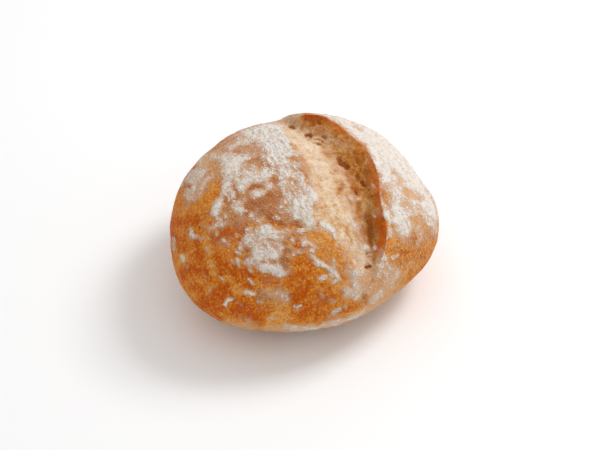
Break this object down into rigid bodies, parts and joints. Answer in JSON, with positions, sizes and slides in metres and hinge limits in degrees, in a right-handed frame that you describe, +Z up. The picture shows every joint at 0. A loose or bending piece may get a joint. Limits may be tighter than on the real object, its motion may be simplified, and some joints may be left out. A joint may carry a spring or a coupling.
{
  "type": "boule loaf",
  "caption": "Small round hearth loaf with one long slash, a raised ear and a floured crust, resting on its flat sole.",
  "frame": {"origin": "centre of the loaf's box in plan, on the plane of its flat sole", "axes": "+Z up out of the crown; the shown front faces -Y; +X to the viewer's right, the side that carries the ear"},
  "size_m": [0.1756, 0.1818, 0.0948],
  "materials": {
    "crust": "dry baked crust, matt, dusted with flour"
  },
  "bodies": {
    "root": {"boule": "crust"}
  },
  "joints": []
}
